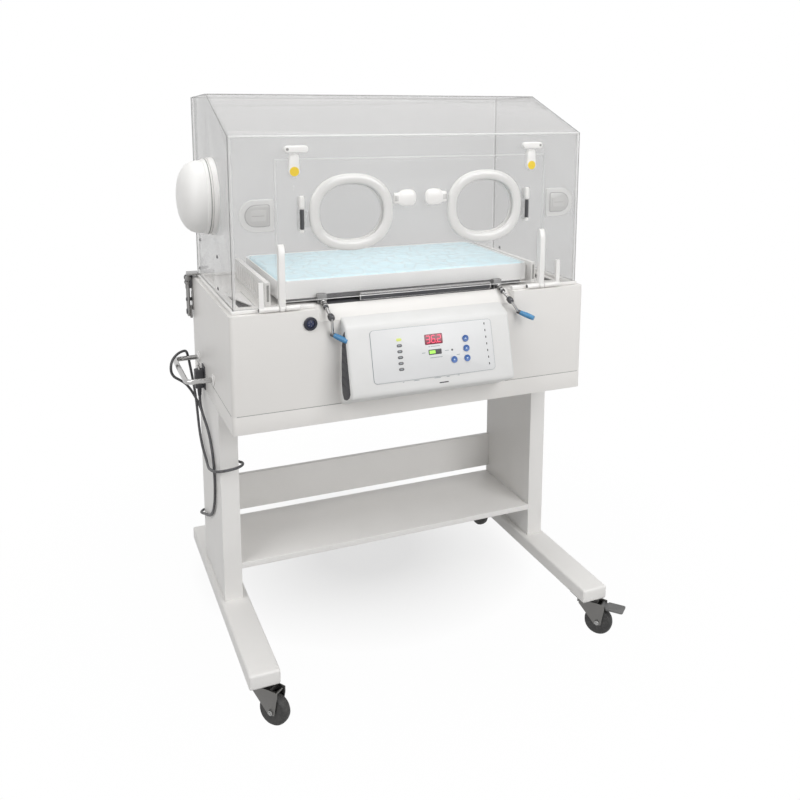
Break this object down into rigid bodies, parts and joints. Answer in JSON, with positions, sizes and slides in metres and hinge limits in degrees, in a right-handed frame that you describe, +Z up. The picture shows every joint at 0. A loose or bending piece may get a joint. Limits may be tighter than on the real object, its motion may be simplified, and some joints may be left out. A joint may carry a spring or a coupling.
{
  "type": "infant incubator",
  "caption": "Closed infant incubator: clear hood with drop-down front door and oval hand ports over a tilting mattress, on a heated cabinet and a castered stand.",
  "frame": {"origin": "on the floor under the middle of the stand", "axes": "+Z up, +Y towards the back, +X to the right as seen from the front"},
  "size_m": [1.0874, 0.8913, 1.42],
  "materials": {
    "stand_paint": "satin",
    "cabinet_paint": "satin",
    "white_plastic": "gloss",
    "clear_acrylic": "clear polished acrylic",
    "caster_steel": "zinc plated",
    "wheel_rubber": "matt rubber",
    "chrome_trim": "polished",
    "mattress_cover": "light blue cover",
    "tray_plastic": "translucent white",
    "frame_metal": "brushed",
    "module_plastic": "fine grain",
    "fascia_film": "printed film",
    "light_window": "dark red window",
    "button_blue": "satin",
    "socket_blue": "satin",
    "crank_blue": "gloss",
    "board_green": "lacquered",
    "motor_steel": "plain",
    "heater_steel": "sheathed",
    "tank_plastic": "translucent",
    "black_plastic": "fine grain",
    "cord_rubber": "matt",
    "pedal_plastic": "satin"
  },
  "bodies": {
    "stand": {"stand_feet": "stand_paint", "stand_legs": "stand_paint", "shelf": "stand_paint", "rear_rail": "stand_paint", "caster_mounts": "caster_steel", "bottom_pan": "cabinet_paint", "cabinet_body": "cabinet_paint", "air_ducts": "white_plastic", "hinge_plates": "chrome_trim", "module_housing": "module_plastic", "module_fascia": "fascia_film", "panel_lights": "light_window", "probe_socket": "socket_blue", "side_handles": "chrome_trim", "control_board": "board_green", "fan_motor": "motor_steel", "heater_ring": "heater_steel", "water_tank": "tank_plastic", "power_inlet": "black_plastic", "lead_connector": "cord_rubber", "mains_lead": "cord_rubber", "mains_coil": "cord_rubber", "mains_plug": "cord_rubber"},
    "fan_rotor": {"fan_rotor": "white_plastic"},
    "hood": {"hood_rim": "white_plastic", "hood_sheet": "clear_acrylic", "hood_ends": "clear_acrylic", "hinge_leaves": "chrome_trim", "iris_flange": "white_plastic", "tube_grommets": "white_plastic", "door_hinge_rods": "white_plastic"},
    "iris_cover": {"iris_cover": "white_plastic"},
    "front_door": {"front_door": "clear_acrylic", "door_fittings": "white_plastic", "port_frames": "white_plastic"},
    "port_lid_left": {"port_lid_left": "clear_acrylic"},
    "port_lid_right": {"port_lid_right": "clear_acrylic"},
    "port_latch_left": {"port_latch_left": "white_plastic"},
    "port_latch_right": {"port_latch_right": "white_plastic"},
    "door_turn_left": {"door_turn_left": "white_plastic"},
    "door_turn_right": {"door_turn_right": "white_plastic"},
    "tilt_frame": {"tilt_frame": "frame_metal"},
    "mattress_tray": {"mattress_tray": "tray_plastic", "mattress": "mattress_cover"},
    "tilt_crank_left": {"tilt_crank_left": "crank_blue"},
    "tilt_crank_right": {"tilt_crank_right": "crank_blue"},
    "panel_button_up": {"panel_button_up": "button_blue"},
    "panel_button_set": {"panel_button_set": "button_blue"},
    "panel_button_down": {"panel_button_down": "button_blue"},
    "panel_button_mute": {"panel_button_mute": "button_blue"},
    "caster_fork_front_left": {"caster_fork_front_left": "caster_steel"},
    "caster_wheel_front_left": {"caster_wheel_front_left": "wheel_rubber"},
    "caster_fork_front_right": {"caster_fork_front_right": "caster_steel"},
    "caster_wheel_front_right": {"caster_wheel_front_right": "wheel_rubber"},
    "caster_fork_rear_left": {"caster_fork_rear_left": "caster_steel"},
    "caster_wheel_rear_left": {"caster_wheel_rear_left": "wheel_rubber"},
    "caster_fork_rear_right": {"caster_fork_rear_right": "caster_steel"},
    "caster_wheel_rear_right": {"caster_wheel_rear_right": "wheel_rubber"},
    "brake_pedal_front_right": {"brake_pedal_front_right": "pedal_plastic"},
    "brake_pedal_rear_left": {"brake_pedal_rear_left": "pedal_plastic"}
  },
  "joints": [
    {"name": "hood_lift", "type": "hinge", "parent": "stand", "child": "hood", "pos_m": [0, 0.276, 0.932], "axis": [-1, 0, 0], "range_deg": [0, 70]},
    {"name": "iris_turn", "type": "hinge", "parent": "hood", "child": "iris_cover", "pos_m": [-0.46, -0.016, 1.178], "axis": [-1, 0, 0], "range_deg": [0, 180]},
    {"name": "front_door_drop", "type": "hinge", "parent": "hood", "child": "front_door", "pos_m": [0, -0.228, 0.9376], "axis": [1, 0, 0], "range_deg": [0, 90]},
    {"name": "left_port_swing", "type": "hinge", "parent": "front_door", "child": "port_lid_left", "pos_m": [-0.292, -0.2303, 1.153], "axis": [0, 0, -1], "range_deg": [0, 110]},
    {"name": "right_port_swing", "type": "hinge", "parent": "front_door", "child": "port_lid_right", "pos_m": [0.292, -0.2303, 1.153], "axis": [0, 0, 1], "range_deg": [0, 110]},
    {"name": "left_latch_press", "type": "slide", "parent": "front_door", "child": "port_latch_left", "axis": [1, 0, 0], "range_m": [0, 0.005], "stiffness_N_per_m": 200},
    {"name": "right_latch_press", "type": "slide", "parent": "front_door", "child": "port_latch_right", "axis": [-1, 0, 0], "range_m": [0, 0.005], "stiffness_N_per_m": 200},
    {"name": "left_door_turn", "type": "hinge", "parent": "hood", "child": "door_turn_left", "pos_m": [-0.324, -0.23, 1.301], "axis": [0, -1, 0], "range_deg": [0, 90]},
    {"name": "right_door_turn", "type": "hinge", "parent": "hood", "child": "door_turn_right", "pos_m": [0.324, -0.23, 1.301], "axis": [0, 1, 0], "range_deg": [0, 90]},
    {"name": "head_lift", "type": "hinge", "parent": "stand", "child": "tilt_frame", "pos_m": [0.323, 0.017, 0.9383], "axis": [0, 1, 0], "range_deg": [0, 8]},
    {"name": "foot_lift", "type": "hinge", "parent": "tilt_frame", "child": "mattress_tray", "pos_m": [-0.323, 0.017, 0.9383], "axis": [0, -1, 0], "range_deg": [0, 8]},
    {"name": "left_crank_turn", "type": "hinge", "parent": "stand", "child": "tilt_crank_left", "pos_m": [-0.235, -0.183, 0.941], "axis": [0, 0.9397, 0.342], "range_deg": [0, 136]},
    {"name": "right_crank_turn", "type": "hinge", "parent": "stand", "child": "tilt_crank_right", "pos_m": [0.235, -0.183, 0.941], "axis": [0, -0.9397, -0.342], "range_deg": [0, 136]},
    {"name": "button_up_press", "type": "slide", "parent": "stand", "child": "panel_button_up", "axis": [0, 0.9622, -0.2723], "range_m": [0, 0.0012], "stiffness_N_per_m": 500},
    {"name": "button_set_press", "type": "slide", "parent": "stand", "child": "panel_button_set", "axis": [0, 0.9622, -0.2723], "range_m": [0, 0.0012], "stiffness_N_per_m": 500},
    {"name": "button_down_press", "type": "slide", "parent": "stand", "child": "panel_button_down", "axis": [0, 0.9622, -0.2723], "range_m": [0, 0.0012], "stiffness_N_per_m": 500},
    {"name": "button_mute_press", "type": "slide", "parent": "stand", "child": "panel_button_mute", "axis": [0, 0.9622, -0.2723], "range_m": [0, 0.0012], "stiffness_N_per_m": 500},
    {"name": "front_left_swivel", "type": "hinge", "parent": "stand", "child": "caster_fork_front_left", "pos_m": [-0.44, -0.3475, 0.09], "axis": [0, 0, 1], "continuous": true},
    {"name": "front_left_roll", "type": "hinge", "parent": "caster_fork_front_left", "child": "caster_wheel_front_left", "pos_m": [-0.41686, -0.37508, 0.0375], "axis": [0.766, 0.6428, 0], "continuous": true},
    {"name": "front_right_swivel", "type": "hinge", "parent": "stand", "child": "caster_fork_front_right", "pos_m": [0.44, -0.3475, 0.09], "axis": [0, 0, 1], "continuous": true},
    {"name": "front_right_roll", "type": "hinge", "parent": "caster_fork_front_right", "child": "caster_wheel_front_right", "pos_m": [0.46314, -0.37508, 0.0375], "axis": [0.766, 0.6428, 0], "continuous": true},
    {"name": "front_right_brake", "type": "hinge", "parent": "caster_fork_front_right", "child": "brake_pedal_front_right", "pos_m": [0.46957, -0.38274, 0.082], "axis": [0.766, 0.6428, 0], "range_deg": [0, 15]},
    {"name": "rear_left_swivel", "type": "hinge", "parent": "stand", "child": "caster_fork_rear_left", "pos_m": [-0.44, 0.3475, 0.09], "axis": [0, 0, 1], "continuous": true},
    {"name": "rear_left_roll", "type": "hinge", "parent": "caster_fork_rear_left", "child": "caster_wheel_rear_left", "pos_m": [-0.41686, 0.37508, 0.0375], "axis": [-0.766, 0.6428, 0], "continuous": true},
    {"name": "rear_left_brake", "type": "hinge", "parent": "caster_fork_rear_left", "child": "brake_pedal_rear_left", "pos_m": [-0.41043, 0.38274, 0.082], "axis": [-0.766, 0.6428, 0], "range_deg": [0, 15]},
    {"name": "rear_right_swivel", "type": "hinge", "parent": "stand", "child": "caster_fork_rear_right", "pos_m": [0.44, 0.3475, 0.09], "axis": [0, 0, 1], "continuous": true},
    {"name": "rear_right_roll", "type": "hinge", "parent": "caster_fork_rear_right", "child": "caster_wheel_rear_right", "pos_m": [0.44625, 0.31205, 0.0375], "axis": [0.9848, 0.1736, 0], "continuous": true},
    {"name": "fan_spin", "type": "hinge", "parent": "stand", "child": "fan_rotor", "pos_m": [0, 0.027, 0.72], "axis": [0, 0, 1], "continuous": true}
  ],
  "couplings": [
    {"joint": "left_crank_turn", "follows": "head_lift", "ratio": 17},
    {"joint": "right_crank_turn", "follows": "foot_lift", "ratio": 17}
  ]
}
